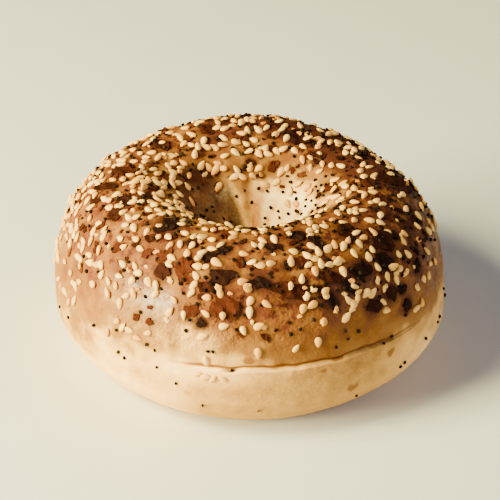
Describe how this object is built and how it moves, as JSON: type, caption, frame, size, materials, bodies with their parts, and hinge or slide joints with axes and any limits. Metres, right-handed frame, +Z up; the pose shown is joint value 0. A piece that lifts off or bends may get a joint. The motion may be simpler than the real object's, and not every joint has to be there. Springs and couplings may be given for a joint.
{
  "type": "bagel",
  "caption": "Baked bread ring with a funnel-shaped hole, a flat underside and a split along one side, its top crusted with seeds, dried onion flakes and garlic granules.",
  "frame": {"origin": "middle of the flat underside, on the surface that the bagel rests on", "axes": "+Z up through the hole; -Y towards the side with the split in the crust; +X to the right seen from that side"},
  "size_m": [0.1116, 0.1057, 0.052],
  "materials": {
    "crust": "baked crust, glossy golden brown on top, paler and satin down the sides and in the hole",
    "sesame": "hulled seed, cream, lightly toasted, satin",
    "poppy": "blue-black seed, dull",
    "onion": "dried flake, red-brown to charred black, slightly glossy",
    "garlic": "dried granule, cream to toasted brown, satin"
  },
  "bodies": {
    "root": {"bagel": "crust"}
  },
  "joints": []
}
